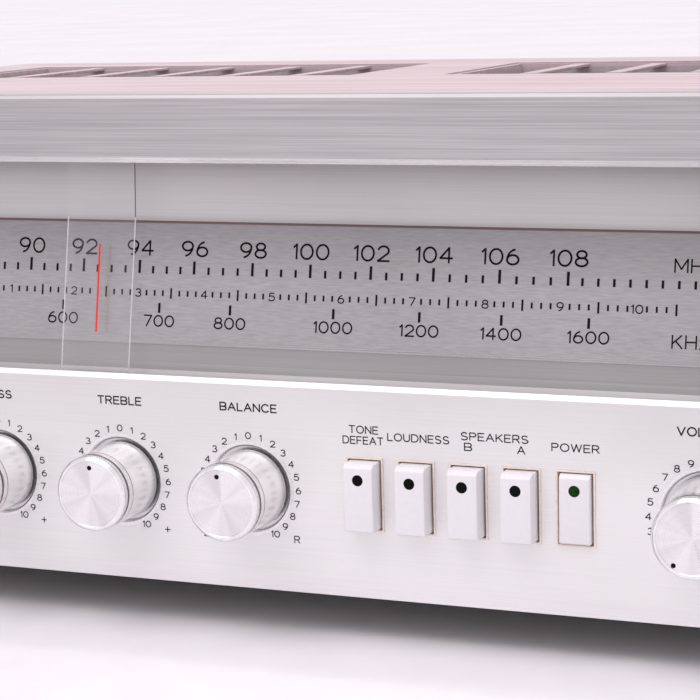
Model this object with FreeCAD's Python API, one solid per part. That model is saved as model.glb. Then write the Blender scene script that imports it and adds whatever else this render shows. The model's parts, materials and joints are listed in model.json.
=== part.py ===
import FreeCAD, Part
import math
import os
from FreeCAD import Vector

# Stereo receiver, millimetres. +Z is up, the front faces -Y, +X is to the right when facing the front.
# The origin is on the surface it stands on, at the middle of the overall outline.

# ---- driving dimensions ----
width = 440.0              # standard hi-fi width
foot_height = 12.0
knob_reach = 19.7          # volume knob in front of the lower panel
rear_reach = 334.7         # lower panel front to the back of the aerial rod
panel_below = 28.2         # knob axis down to the lower panel's bottom edge
panel_above = 31.0         # knob axis up to the lower panel's top edge
panel_thick = 2.0
hood_bottom = 90.5         # heights above the knob axis
hood_top = 109.1
hood_depth = 8.0
case_top = 103.9           # top of the wooden case
case_front = 8.2           # depths behind the lower panel's front
case_back = 318.0
board_top = 9.0            # thickness of the case's top board
board_side = 12.0
liner_in = 206.5           # inner face of the recess's end cheeks
dial_lean = 11.0           # degrees, the dial leans back at the top
dial_foot_depth = 7.5
dial_foot_height = 38.7
dial_length = 34.9         # along the slope
dial_thick = 1.5
cursor_gap = 3.0           # cursor plate in front of the dial
cursor_wide = 21.6
cursor_x = -18.4
tone_knob_x = (-49.6, -9.6, 30.4)
volume_x = 159.8
selector_x = -142.0
headphone_x = -195.0
tuning_x = 184.5
tuning_height = 60.0
knob_rise = 0.5            # knob axes above the level that heights are measured from
knob_base_r = 11.1
knob_front_r = 10.7
knob_length = 18.5
volume_length = 19.7
volume_base_r = 11.8
ring_r = 13.5
volume_ring_r = 14.2
ring_wall = 1.5
shaft_r = 3.0
button_pitch = 14.8
button_wide = 8.8
button_tall = 18.8
button_out = 5.6
button_in = 1.6
bezel_wide = 10.7
bezel_tall = 20.5
bezel_wall = 0.5
button_height = 1.2        # button centre above the knob axis
first_right_button = 65.15
first_left_button = -100.5
subpanel_depth = 28.0
sheet = 1.2
rear_panel_depth = 311.0
cord_plane = 26.0
cord_r = 0.4
drum_r = 32.0
drum_x = -60.0
drum_height = 50.0
spindle_r = 5.0
pulley_r = 5.0
pulley_x = 195.0
pulley_height = 84.6
rail_depth = 17.0
rail_height = 92.6
rail_r = 1.2
meter_x = (-180.0, -128.0)
meter_wide = 42.0
meter_tall = 25.0
meter_foot = 5.0           # window's lower edge up the dial slope
vent_inner = 18.0          # vent openings, distances from the centre line
vent_outer = 192.0
vent_front = 199.0
vent_back = 283.0
vent_bar = 5.5
vent_pitch = 30.0
vent_rebate = 1.6          # depth of the seat the inserts lie on

front_y = (knob_reach - rear_reach) / 2
axis_z = foot_height + panel_below
half = width / 2
fit = 0.05                 # radial running clearance
nodes = {}


# ---- helpers: depth is measured back from the lower panel's front, height up from the knob axis ----
def block(x0, x1, d0, d1, h0, h1):
    corner = Vector(min(x0, x1), front_y + d0, axis_z + h0)
    return Part.makeBox(abs(x1 - x0), d1 - d0, h1 - h0, corner)


def rod_y(x, h, r, d0, d1):
    return Part.makeCylinder(r, d1 - d0, Vector(x, front_y + d0, axis_z + h), Vector(0, 1, 0))


def rod_x(x0, x1, d, h, r):
    return Part.makeCylinder(r, x1 - x0, Vector(x0, front_y + d, axis_z + h), Vector(1, 0, 0))


def rod_z(x, d, r, h0, h1):
    return Part.makeCylinder(r, h1 - h0, Vector(x, front_y + d, axis_z + h0), Vector(0, 0, 1))


def strip_x(outline, x0, x1):
    """A bar along X whose section is a closed outline of (depth, height) corners."""
    corners = [Vector(x0, front_y + d, axis_z + h) for d, h in outline]
    face = Part.Face(Part.makePolygon(corners + corners[:1]))
    return face.extrude(Vector(x1 - x0, 0, 0))


def turned_y(x, h, outline):
    """A turned piece about an axis along Y; the outline is (radius, depth) corners."""
    corners = [Vector(x + r, front_y + d, axis_z + h) for r, d in outline]
    face = Part.Face(Part.makePolygon(corners + corners[:1]))
    return face.revolve(Vector(x, front_y, axis_z + h), Vector(0, 1, 0), 360)


def on_dial(shape):
    """Places a shape built with x across, y behind the dial's front and z up its slope."""
    turned = shape.copy()
    turned.rotate(Vector(0, 0, 0), Vector(1, 0, 0), -dial_lean)
    turned.translate(Vector(0, front_y + dial_foot_depth, axis_z + dial_foot_height))
    return turned


def dial_block(x0, x1, y0, y1, z0, z1):
    return on_dial(Part.makeBox(x1 - x0, y1 - y0, z1 - z0, Vector(x0, y0, z0)))


def join(shapes):
    return shapes[0].fuse(shapes[1:]) if len(shapes) > 1 else shapes[0]


def group(shapes):
    return Part.makeCompound(shapes)


def keep(name, shape):
    nodes[name] = shape


def right_buttons():
    return [first_right_button + i * button_pitch for i in range(5)]


def left_buttons():
    return [first_left_button + i * button_pitch for i in range(2)]


def small_knob_places():
    return list(tone_knob_x) + [selector_x]


# ---- fascia ----
def hood():
    chamfer = 1.6
    rim = 0.9
    wall = 3.0
    groove = (1.9, 2.7, 0.7)
    outline = [(chamfer, hood_bottom), (0, hood_bottom + chamfer), (0, hood_top - rim), (rim, hood_top),
               (groove[0], hood_top), (groove[0], hood_top - groove[2]),
               (groove[1], hood_top - groove[2]), (groove[1], hood_top),
               (hood_depth, hood_top), (hood_depth, hood_top - wall),
               (wall, hood_top - wall), (wall, hood_bottom)]
    return strip_x(outline, -half, half)


def lower_panel():
    chamfer = 1.3
    bevel_height = 5.0
    bevel_depth = 0.7
    outline = [(bevel_depth, -panel_below), (0, bevel_height - panel_below), (0, panel_above - chamfer),
               (chamfer, panel_above), (panel_thick, panel_above), (panel_thick, -panel_below)]
    plate = strip_x(outline, -half, half)
    holes = [rod_y(x, knob_rise, ring_r, -1, panel_thick + 1) for x in small_knob_places()]
    holes.append(rod_y(volume_x, knob_rise, volume_ring_r, -1, panel_thick + 1))
    holes.append(rod_y(headphone_x, 0, 6.0, -1, panel_thick + 1))
    for x in right_buttons() + left_buttons():
        holes.append(block(x - bezel_wide / 2, x + bezel_wide / 2, -1, panel_thick + 1,
                           button_height - bezel_tall / 2, button_height + bezel_tall / 2))
    return plate.cut(holes)


def end_cheek(side):
    outer = block(side * liner_in, side * half, 0, hood_depth, panel_above + 0.2, hood_bottom - 0.2)
    liner = block(side * liner_in, side * (half - board_side), hood_depth, 20.0,
                  panel_above + 0.2, hood_bottom - 0.2)
    return outer.fuse(liner).removeSplitter()


def recess_panel():
    """Bent sheet: the wall above the dial, the seat behind it and the cove under it."""
    wall = 1.0
    foot_depth = 5.8
    foot_height_up = 29.6
    back = dial_foot_depth + dial_thick * math.cos(math.radians(dial_lean)) + 0.15
    seat_top = dial_length * math.cos(math.radians(dial_lean)) + dial_foot_height
    seat_run = math.tan(math.radians(dial_lean)) * (seat_top - dial_foot_height)
    front = [(18.8, hood_bottom - 0.7), (back + seat_run, seat_top), (back, dial_foot_height)]
    steps = 5
    for i in range(1, steps + 1):
        turn = math.radians(90 * i / steps)
        front.append((back - (back - foot_depth) * (1 - math.cos(turn)),
                      dial_foot_height - (dial_foot_height - foot_height_up) * math.sin(turn)))
    front.append((foot_depth, 24.0))
    rear = [(d + wall, h - (0.6 if h < dial_foot_height - 1 else 0)) for d, h in reversed(front)]
    rear[0] = (foot_depth + wall, 24.0)
    sheet_bar = strip_x(front + rear, -liner_in + 0.2, liner_in - 0.2)
    openings = [dial_block(x - meter_wide / 2 - 2.2, x + meter_wide / 2 + 2.2, dial_thick - 1, 14,
                           meter_foot - 2.2, meter_foot + meter_tall + 2.2) for x in meter_x]
    openings.append(rod_y(tuning_x, tuning_height, 7.5, 0, 30))
    return sheet_bar.cut(openings)


def dial_plate():
    chamfer = 1.2
    corners = [Vector(-liner_in + 0.3, y, z) for y, z in
               ((0, chamfer), (0, dial_length), (dial_thick, dial_length), (dial_thick, 0), (chamfer, 0))]
    bar = Part.Face(Part.makePolygon(corners + corners[:1])).extrude(Vector(2 * liner_in - 0.6, 0, 0))
    plate = on_dial(bar)
    cuts = [dial_block(x - meter_wide / 2, x + meter_wide / 2, -1, dial_thick + 1,
                       meter_foot, meter_foot + meter_tall) for x in meter_x]
    cuts.append(rod_y(tuning_x, tuning_height, 7.5, 0, 30))
    return plate.cut(cuts)


def knob_ring(x, r):
    floor = 0.6
    depth = 2.4
    return turned_y(x, knob_rise, [(r - 0.02, 0), (r - 0.02, depth), (shaft_r + 1.2, depth),
                           (shaft_r + 1.2, depth - floor), (r - ring_wall, depth - floor),
                           (r - ring_wall, 0.5), (r - ring_wall + 0.5, 0)])


def bezel(x):
    depth = 3.4
    outer = block(x - bezel_wide / 2 + 0.02, x + bezel_wide / 2 - 0.02, -0.4, depth,
                  button_height - bezel_tall / 2 + 0.02, button_height + bezel_tall / 2 - 0.02)
    inner = block(x - bezel_wide / 2 + bezel_wall, x + bezel_wide / 2 - bezel_wall, -1, depth + 1,
                  button_height - bezel_tall / 2 + bezel_wall, button_height + bezel_tall / 2 - bezel_wall)
    return outer.cut(inner)


# ---- rotary controls ----
def round_knob(x, h, base_r, front_r, length, back):
    """Turned aluminium knob: dished face, bright rim, one groove, slightly tapered skirt."""
    bore_r = shaft_r + 0.02
    outline = [(0, 0.5 - length), (front_r - 1.4, 0.3 - length), (front_r - 1.1, -length),
               (front_r - 0.7, -length), (front_r, 0.8 - length), (front_r, 2.6 - length),
               (front_r - 0.5, 2.9 - length), (front_r - 0.5, 3.4 - length), (front_r + 0.05, 3.7 - length),
               (base_r, back), (bore_r, back), (bore_r, 6.0 - length), (0, 6.0 - length)]
    return turned_y(x, h, outline)


def pot_shaft(x, length, back):
    return rod_y(x, knob_rise, shaft_r, 6.2 - length, back)


def control_pot(x, r, depth):
    """Potentiometer or selector can behind the sub-panel, with its threaded neck through it."""
    start = subpanel_depth + sheet
    can = rod_y(x, knob_rise, r, start, start + depth)
    neck = rod_y(x, knob_rise, 4.5, subpanel_depth - 4.0, start)
    lugs = block(x - 8, x + 8, start + 2, start + 4, -r - 5, -r + 2)
    bore = rod_y(x, knob_rise, shaft_r + fit, subpanel_depth - 5, start + depth - 3)
    return join([can, neck, lugs]).cut(bore)


# ---- push buttons ----
def button(x, reach):
    """Cap with a sloped top edge, and the plunger that enters the switch."""
    chamfer = 1.2
    low = button_height - button_tall / 2
    high = button_height + button_tall / 2
    skirt = 8.0 - reach
    outline = [(-reach, low + 0.4), (-reach, high - chamfer), (chamfer - reach, high),
               (skirt, high), (skirt, low), (0.4 - reach, low)]
    cap = strip_x(outline, x - button_wide / 2, x + button_wide / 2)
    stem = block(x - 2, x + 2, skirt, skirt + 15.0, button_height - 2, button_height + 2)
    return cap.fuse(stem).removeSplitter()


def switch_bank(places):
    low = button_height - 7
    high = button_height + 7
    body = block(places[0] - 6, places[-1] + 6, 13.5, subpanel_depth - 0.2, low, high)
    slots = [block(x - 2.2, x + 2.2, 13.0, 25.0, button_height - 2.2, button_height + 2.2) for x in places]
    return body.cut(slots)


# ---- tuning drive ----
def cursor():
    """Clear bent strip in front of the dial, upright where it enters the panel and the hood."""
    wall = 1.4
    lean = math.radians(dial_lean)
    start = (dial_foot_depth - cursor_gap, dial_foot_height)
    run = 36.0
    knee = (start[0] + run * math.sin(lean), start[1] + run * math.cos(lean))
    low = (start[0] - 6.2 * math.tan(lean), start[1] - 6.2)
    front = [(low[0], 22.5), low, knee, (knee[0] + 1.3, rail_height + 1.6)]
    rear = [(d + wall, h) for d, h in reversed(front)]
    return strip_x(front + rear, cursor_x - cursor_wide / 2, cursor_x + cursor_wide / 2)


def pointer_carriage():
    body = block(cursor_x - 8, cursor_x + 8, 14.6, cord_plane + 0.8, rail_height - 1.7, rail_height + 1.8)
    return body.cut(rod_x(cursor_x - 9, cursor_x + 9, rail_depth, rail_height, rail_r + fit))


def tuning_knob():
    return round_knob(tuning_x, tuning_height, 19.5, 18.6, 12.0, 6.3)


def tuning_shaft():
    core = rod_y(tuning_x, tuning_height, shaft_r, -5.8, 54.0)
    spindle = rod_y(tuning_x, tuning_height, spindle_r, cord_plane - 1.2, cord_plane + 1.2)
    return join([core, spindle]).removeSplitter()


def flywheel():
    return rod_y(tuning_x, tuning_height, 19.0, 38.0, 50.0).cut(
        rod_y(tuning_x, tuning_height, shaft_r, 37.0, 51.0))


def dial_drum():
    rim = rod_y(drum_x, drum_height, drum_r, cord_plane - 1.0, cord_plane + 1.0)
    windows = []
    for i in range(5):
        turn = math.radians(90 + 72 * i)
        windows.append(rod_y(drum_x + 18 * math.cos(turn), drum_height + 18 * math.sin(turn), 8.0,
                             cord_plane - 2, cord_plane + 2))
    hub = rod_y(drum_x, drum_height, shaft_r, cord_plane + 1.0, subpanel_depth + 8.0)
    return rim.cut(windows).fuse(hub).removeSplitter()


def pulley(side):
    wheel = rod_y(side * pulley_x, pulley_height, pulley_r, cord_plane - 0.9, cord_plane + 0.9)
    return wheel.cut(rod_y(side * pulley_x, pulley_height, 1.5 + fit, cord_plane - 2, cord_plane + 2))


def belt_wire(wheels):
    """Tight loop round wheels listed clockwise, each (x, height, radius of the cord's centre)."""
    lines = []
    count = len(wheels)
    for i in range(count):
        x0, h0, r0 = wheels[i]
        x1, h1, r1 = wheels[(i + 1) % count]
        span = math.hypot(x1 - x0, h1 - h0)
        along = math.atan2(h1 - h0, x1 - x0)
        normal = along + math.acos((r0 - r1) / span)
        lines.append(((x0 + r0 * math.cos(normal), h0 + r0 * math.sin(normal)),
                      (x1 + r1 * math.cos(normal), h1 + r1 * math.sin(normal)), normal))
    edges = []
    for i in range(count):
        start, end, normal = lines[i]
        x, h, r = wheels[(i + 1) % count]
        following = lines[(i + 1) % count]
        sweep = (normal - following[2]) % (2 * math.pi)
        middle = (x + r * math.cos(normal - sweep / 2), h + r * math.sin(normal - sweep / 2))
        points = [Vector(px, front_y + cord_plane, axis_z + ph)
                  for px, ph in (start, end, middle, following[0])]
        edges.append(Part.LineSegment(points[0], points[1]).toShape())
        edges.append(Part.Arc(points[1], points[2], points[3]).toShape())
    return Part.Wire(edges)


def dial_cord():
    lift = cord_r + 0.04
    loop = belt_wire([(-pulley_x, pulley_height, pulley_r + lift),
                      (pulley_x, pulley_height, pulley_r + lift),
                      (tuning_x, tuning_height, spindle_r + lift), (drum_x, drum_height, drum_r + lift)])
    first = loop.Edges[0].Vertexes[0].Point
    along = loop.Edges[0].tangentAt(loop.Edges[0].FirstParameter)
    ring = Part.Wire(Part.makeCircle(cord_r, first, along))
    return loop.makePipeShell([ring], True, True)


def tuning_capacitor():
    frame = block(drum_x - 24, drum_x + 24, subpanel_depth + 4, subpanel_depth + 62,
                  drum_height - 22, drum_height + 20)
    stand = block(drum_x - 20, drum_x + 20, subpanel_depth + 20, subpanel_depth + 56,
                  -26.2, drum_height - 22)
    bore = rod_y(drum_x, drum_height, shaft_r + fit, subpanel_depth, subpanel_depth + 9)
    return join([frame, stand]).cut(bore).removeSplitter()


# ---- meters ----
def meter_case(x):
    wall = 2.0
    outer = dial_block(x - meter_wide / 2 - wall, x + meter_wide / 2 + wall, dial_thick + 0.05, 11.5,
                       meter_foot - wall, meter_foot + meter_tall + wall)
    inner = dial_block(x - meter_wide / 2, x + meter_wide / 2, 0, 9.5, meter_foot, meter_foot + meter_tall)
    stud = on_dial(Part.makeCylinder(0.8, 3.5, Vector(x, 6.0, meter_foot + 4), Vector(0, 1, 0)))
    return join([outer.cut(inner), stud])


def meter_lens(x):
    gap = 0.1
    return dial_block(x - meter_wide / 2 + gap, x + meter_wide / 2 - gap, 0.2, 1.3,
                      meter_foot + gap, meter_foot + meter_tall - gap)


def needle(x, turn):
    """Hub on the stud, with a blade pointing up the dial; turn is degrees clockwise."""
    z = meter_foot + 4
    hub = Part.makeCylinder(1.8, 1.4, Vector(x, 5.4, z), Vector(0, 1, 0))
    bore = Part.makeCylinder(0.8 + fit, 1.0, Vector(x, 5.9, z), Vector(0, 1, 0))
    blade = Part.makeBox(0.5, 0.4, 17.0, Vector(x - 0.25, 5.6, z + 1.0))
    shape = hub.fuse(blade).cut(bore)
    shape.rotate(Vector(x, 0, z), Vector(0, 1, 0), turn)
    return on_dial(shape)


# ---- chassis and case ----
def base_pan():
    plate = block(-206, 206, panel_thick + 0.2, rear_panel_depth + sheet, -27.4, -26.2)
    slots = []
    for row in (90.0, 200.0):
        for i in range(12):
            x = -110 + 20 * i
            slots.append(block(x - 2.5, x + 2.5, row, row + 40, -30, -20))
    return plate.cut(slots)


def front_subpanel():
    plate = block(-206, 206, subpanel_depth, subpanel_depth + sheet, -26.0, 88.0)
    holes = [rod_y(x, knob_rise, 4.6, subpanel_depth - 1, subpanel_depth + 3) for x in small_knob_places()]
    holes.append(rod_y(volume_x, knob_rise, 4.6, subpanel_depth - 1, subpanel_depth + 3))
    holes.append(rod_y(headphone_x, 0, 9.0, subpanel_depth - 1, subpanel_depth + 3))
    holes.append(rod_y(tuning_x, tuning_height, shaft_r + fit, subpanel_depth - 1, subpanel_depth + 3))
    holes.append(rod_y(drum_x, drum_height, shaft_r + 1.0, subpanel_depth - 1, subpanel_depth + 3))
    pins = [rod_y(side * pulley_x, pulley_height, 1.5, cord_plane - 1.1, subpanel_depth) for side in (-1, 1)]
    rail_bore = rod_x(-half, half, rail_depth, rail_height, rail_r)
    ears = [join([block(side * 203.0, side * 204.5, rail_depth - 2, subpanel_depth, hood_bottom, 94.0),
                  block(side * 203.0, side * 204.5, 21.0, subpanel_depth, 78.0, hood_bottom),
                  block(side * 203.0, side * 204.5, subpanel_depth, subpanel_depth + sheet, 78.0, 94.0)])
            for side in (-1, 1)]
    return join([plate.cut(holes)] + pins + ears).cut(rail_bore).removeSplitter()


def rear_panel():
    plate = block(-206, 206, rear_panel_depth, rear_panel_depth + sheet, -26.0, 93.5)
    holes = [rod_y(x, h, 3.0, rear_panel_depth - 1, rear_panel_depth + 3) for x, h in phono_places()]
    holes.append(rod_y(gland_x, gland_height, 6.0, rear_panel_depth - 1, rear_panel_depth + 3))
    return plate.cut(holes)


def foot(x, d):
    low = -panel_below - foot_height
    top = -27.4
    body = Part.makeCone(9.0, 11.0, top - low, Vector(x, front_y + d, axis_z + low), Vector(0, 0, 1))
    pocket = rod_z(x, d, 4.5, low - 1, low + 7)
    return body.cut([pocket, rod_z(x, d, 1.9, low, top + 1)])


def foot_screw(x, d):
    low = -panel_below - foot_height + 7
    head = rod_z(x, d, 3.6, low - 2.4, low)
    shank = rod_z(x, d, 1.85, low - 0.5, -27.4)
    drive = block(x - 2.6, x + 2.6, d - 0.4, d + 0.4, low - 3, low - 1.6)
    return head.fuse(shank).cut(drive)


def foot_places():
    return [(x, d) for x in (-175.0, 175.0) for d in (42.0, 282.0)]


def case_board_top():
    plate = block(-half, half, case_front, case_back, case_top - board_top, case_top)
    ledge = 3.0
    wells = [block(side * (vent_inner + ledge), side * (vent_outer - ledge), vent_front + ledge,
                   vent_back - ledge, case_top - board_top - 1, case_top + 1) for side in (-1, 1)]
    rebates = [block(side * vent_inner, side * vent_outer, vent_front, vent_back,
                     case_top - vent_rebate, case_top + 1) for side in (-1, 1)]
    return plate.cut(wells + rebates)


def case_board_side(side):
    inner = side * (half - board_side)
    board = block(inner, side * half, case_front, case_back, -24.0, case_top - board_top)
    sinks = [rod_x(min(side * (half + 1), side * (half - 3)), max(side * (half + 1), side * (half - 3)),
                   d, -6.0, 5.0) for d in case_screw_depths()]
    return board.cut(sinks)


def case_screw_depths():
    return (60.0, 270.0)


def case_screw(side, d):
    seat = half - 3.0
    low = min(side * seat, side * (half - 0.6))
    high = max(side * seat, side * (half - 0.6))
    head = rod_x(low, high, d, -6.0, 4.8)
    drive = join([block(side * (half - 1.6), side * half, d - 2.6, d + 2.6, -6.4, -5.6),
                  block(side * (half - 1.6), side * half, d - 0.4, d + 0.4, -8.6, -3.4)])
    return head.cut(drive)


def vent_grille(side):
    """Thin slotted insert in the top board: an edge frame and front-to-back bars."""
    gap = 0.5
    rim = 2.0
    x0 = vent_inner + gap
    x1 = vent_outer - gap
    plate = block(side * x0, side * x1, vent_front + gap, vent_back - gap,
                  case_top - vent_rebate, case_top - 0.4)
    slots = []
    edge = x0 + rim
    for i in range(6):
        centre = vent_inner + 27.0 + vent_pitch * i
        end = min(centre - vent_bar / 2, x1 - rim)
        slots.append(block(side * edge, side * end, vent_front + gap + rim, vent_back - gap - rim,
                           case_top - 3, case_top + 1))
        edge = centre + vent_bar / 2
    return plate.cut(slots)


# ---- works inside ----
def transformer():
    x0, x1 = -175.0, -95.0
    core = block(x0, x1, 120, 180, -6, 64)
    winding = block(x0 + 12, x1 - 12, 108, 192, 6, 52)
    foot_plate = block(x0 - 8, x1 + 8, 124, 176, -26.2, -6)
    return join([core, winding, foot_plate]).removeSplitter()


def circuit_boards():
    main = block(-60, 120, 130, 290, -20.0, -18.4)
    tuner = block(-20, 140, 45, 115, -20.0, -18.4)
    parts = [main, tuner]
    for i in range(7):
        parts[0] = parts[0].fuse(block(-48 + 24 * i, -36 + 24 * i, 180, 200, -18.4, -6.0 + 2 * (i % 3)))
    for i in range(5):
        parts[1] = parts[1].fuse(block(-8 + 28 * i, 6 + 28 * i, 70, 84, -18.4, -4.0))
    return group(parts)


def heatsink():
    spine = block(134, 140, 140, 280, -20, 70)
    fins = [block(140, 172, 142 + 12 * i, 144.5 + 12 * i, -20, 70) for i in range(12)]
    return join([spine] + fins).removeSplitter()


def filter_capacitors():
    return group([rod_z(x, 150.0, 17.5, -18.2, 42.0) for x in (-20.0, 22.0)])


# ---- back ----
gland_x = -180.0
gland_height = -6.0


def phono_places():
    return [(20 + 18 * (i % 4), -12.0 + 18 * (i // 4)) for i in range(8)]


def phono_jack(x, h):
    start = rear_panel_depth + sheet
    flange = rod_y(x, h, 6.4, start, start + 1.6)
    barrel = rod_y(x, h, 4.15, start + 1.6, start + 10)
    socket = rod_y(x, h, 1.6, start, start + 11)
    tail = rod_y(x, h, 2.9, rear_panel_depth - 6, start)
    return join([flange, barrel, tail]).cut(socket)


def speaker_terminals():
    start = rear_panel_depth + sheet
    body = block(-130, -30, start, start + 4, -18, 22)
    tabs = [block(-124 + 24 * i, -108 + 24 * i, start + 4, start + 12, -12 + 18 * row, -4 + 18 * row)
            for i in range(4) for row in (0, 1)]
    holes = [rod_y(-116 + 24 * i, 0.5 + 18 * row - 2, 1.6, start - 1, start + 5)
             for i in range(4) for row in (0, 1)]
    return join([body] + tabs).cut(holes).removeSplitter()


def antenna_terminals():
    start = rear_panel_depth + sheet
    plate = block(120, 190, start, start + 3, 24, 42)
    screws = [rod_y(128 + 13.5 * i, 33, 3.4, start + 3, start + 9) for i in range(5)]
    return join([plate] + screws)


aerial_pivot_x = 70.0
aerial_height = 74.0
aerial_depth = rear_reach - 5.0


def antenna_bracket():
    start = rear_panel_depth + sheet
    plate = block(aerial_pivot_x - 9, aerial_pivot_x + 9, start, start + 2,
                  aerial_height - 14, aerial_height + 14)
    arms = [block(aerial_pivot_x - 6, aerial_pivot_x + 6, start + 2, aerial_depth + 5, h, h + 3)
            for h in (aerial_height - 10.3, aerial_height + 7.3)]
    pin = rod_z(aerial_pivot_x, aerial_depth, 1.5, aerial_height - 8, aerial_height + 8)
    return join([plate] + arms + [pin])


def ferrite_antenna():
    core = rod_x(aerial_pivot_x - 150, aerial_pivot_x - 6, aerial_depth, aerial_height, 4.6)
    boss = rod_z(aerial_pivot_x, aerial_depth, 5.0, aerial_height - 7.0, aerial_height + 7.0)
    neck = block(aerial_pivot_x - 8, aerial_pivot_x, aerial_depth - 3, aerial_depth + 3,
                 aerial_height - 4, aerial_height + 4)
    return join([core, neck, boss]).cut(
        rod_z(aerial_pivot_x, aerial_depth, 1.5 + fit, aerial_height - 8, aerial_height + 8))


def cord_gland():
    start = rear_panel_depth + sheet
    collar = rod_y(gland_x, gland_height, 8.0, start, start + 3)
    nose = rod_y(gland_x, gland_height, 6.0, rear_panel_depth - 5, start + 9)
    return collar.fuse(nose).cut(rod_y(gland_x, gland_height, 3.4, rear_panel_depth - 6, start + 10))


def headphone_jack():
    bore = 3.25
    depth = 30.0
    bush = turned_y(headphone_x, 0, [(bore, -1.2), (7.6, -1.2), (7.6, -0.02), (5.95, -0.02),
                                     (5.95, 8.0), (8.5, 8.0), (8.5, depth), (bore, depth)])
    return bush


def build():
    keep("hood", hood())
    keep("lower_panel", lower_panel())
    keep("end_cheeks", group([end_cheek(-1), end_cheek(1)]))
    keep("recess_panel", recess_panel())
    keep("dial_plate", dial_plate())
    rings = [knob_ring(x, ring_r) for x in small_knob_places()]
    keep("knob_rings", group(rings + [knob_ring(volume_x, volume_ring_r)]))
    keep("button_bezels", group([bezel(x) for x in right_buttons() + left_buttons()]))

    for name, x in zip(("bass", "treble", "balance", "selector"), small_knob_places()):
        keep(name + "_knob", round_knob(x, knob_rise, knob_base_r, knob_front_r, knob_length, 1.0))
        keep(name + "_shaft", pot_shaft(x, knob_length, subpanel_depth + 8))
    keep("volume_knob", round_knob(volume_x, knob_rise, volume_base_r, knob_front_r, volume_length, 1.0))
    keep("volume_shaft", pot_shaft(volume_x, volume_length, subpanel_depth + 8))
    pots = [control_pot(x, 9.0, 14.0) for x in tone_knob_x]
    pots += [control_pot(selector_x, 14.0, 22.0), control_pot(volume_x, 12.0, 20.0)]
    keep("control_pots", group(pots))

    for name, x in zip(("tone_defeat", "loudness", "speakers_b", "speakers_a"), right_buttons()):
        keep(name + "_button", button(x, button_out))
    keep("power_button", button(right_buttons()[4], button_in))
    for name, x in zip(("tape", "mode"), left_buttons()):
        keep(name + "_button", button(x, button_out))
    keep("switch_banks", group([switch_bank(right_buttons()), switch_bank(left_buttons())]))
    keep("headphone_jack", headphone_jack())

    keep("cursor", cursor())
    keep("pointer_carriage", pointer_carriage())
    keep("pointer_rail", rod_x(-206, 206, rail_depth, rail_height, rail_r))
    keep("tuning_knob", tuning_knob())
    keep("tuning_shaft", tuning_shaft())
    keep("flywheel", flywheel())
    keep("dial_drum", dial_drum())
    keep("dial_cord", dial_cord())
    keep("pulley_left", pulley(-1))
    keep("pulley_right", pulley(1))
    keep("tuning_capacitor", tuning_capacitor())

    keep("meter_cases", group([meter_case(x) for x in meter_x]))
    keep("meter_lenses", group([meter_lens(x) for x in meter_x]))
    keep("signal_needle", needle(meter_x[0], -40))
    keep("tuning_needle", needle(meter_x[1], 0))

    keep("base_pan", base_pan())
    keep("front_subpanel", front_subpanel())
    keep("rear_panel", rear_panel())
    keep("feet", group([foot(x, d) for x, d in foot_places()]))
    screws = [foot_screw(x, d) for x, d in foot_places()]
    screws += [case_screw(side, d) for side in (-1, 1) for d in case_screw_depths()]
    keep("screws", group(screws))
    keep("case_top_board", case_board_top())
    keep("case_side_boards", group([case_board_side(-1), case_board_side(1)]))
    keep("vent_grilles", group([vent_grille(-1), vent_grille(1)]))

    keep("transformer", transformer())
    keep("circuit_boards", circuit_boards())
    keep("heatsink", heatsink())
    keep("filter_capacitors", filter_capacitors())
    keep("phono_jacks", group([phono_jack(x, h) for x, h in phono_places()]))
    keep("speaker_terminals", speaker_terminals())
    keep("antenna_terminals", antenna_terminals())
    keep("antenna_bracket", antenna_bracket())
    keep("ferrite_antenna", ferrite_antenna())
    keep("cord_gland", cord_gland())


build()
os.makedirs("parts", exist_ok=True)
for name, shape in nodes.items():
    shape.exportStep("parts/" + name + ".step")
    print(name, len(shape.Solids), round(shape.Volume), shape.isValid())
print(len(nodes), "nodes")
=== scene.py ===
import json
import math

import bmesh
import bpy
from mathutils import Matrix, Vector

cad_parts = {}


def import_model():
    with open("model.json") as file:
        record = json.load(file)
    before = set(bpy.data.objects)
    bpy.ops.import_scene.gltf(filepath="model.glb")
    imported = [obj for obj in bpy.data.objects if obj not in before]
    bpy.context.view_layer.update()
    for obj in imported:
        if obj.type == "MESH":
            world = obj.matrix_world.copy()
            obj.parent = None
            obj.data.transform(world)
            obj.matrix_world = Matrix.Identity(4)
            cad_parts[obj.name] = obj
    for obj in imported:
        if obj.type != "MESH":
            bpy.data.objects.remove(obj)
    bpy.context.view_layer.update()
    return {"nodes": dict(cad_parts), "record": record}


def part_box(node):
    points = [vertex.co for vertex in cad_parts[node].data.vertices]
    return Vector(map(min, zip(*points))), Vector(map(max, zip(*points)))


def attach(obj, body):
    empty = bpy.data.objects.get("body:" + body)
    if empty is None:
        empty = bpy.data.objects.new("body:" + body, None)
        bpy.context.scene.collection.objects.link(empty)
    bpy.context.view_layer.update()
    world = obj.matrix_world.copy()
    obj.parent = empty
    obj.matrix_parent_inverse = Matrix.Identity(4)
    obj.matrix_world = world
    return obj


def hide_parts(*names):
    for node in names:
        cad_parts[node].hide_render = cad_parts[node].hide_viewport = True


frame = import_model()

# ---- places, in millimetres: x across, d back from the lower panel's front, h up from LEVEL ----
MM = 0.001
PANEL_TOP = 31.0                   # the lower panel's top edge, above LEVEL
panel_low, panel_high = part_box("lower_panel")
FRONT = panel_low.y
LEVEL = panel_high.z - PANEL_TOP * MM
HOOD_TOP = (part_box("hood")[1].z - LEVEL) / MM
CASE_TOP = (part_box("case_top_board")[1].z - LEVEL) / MM
LEAN = math.radians(11.0)          # the dial leans back at the top
DIAL_FOOT = (7.5, 38.7)            # depth and height of the dial's lower front edge
PRINT = 0.05                       # how far printing stands off its surface
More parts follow.
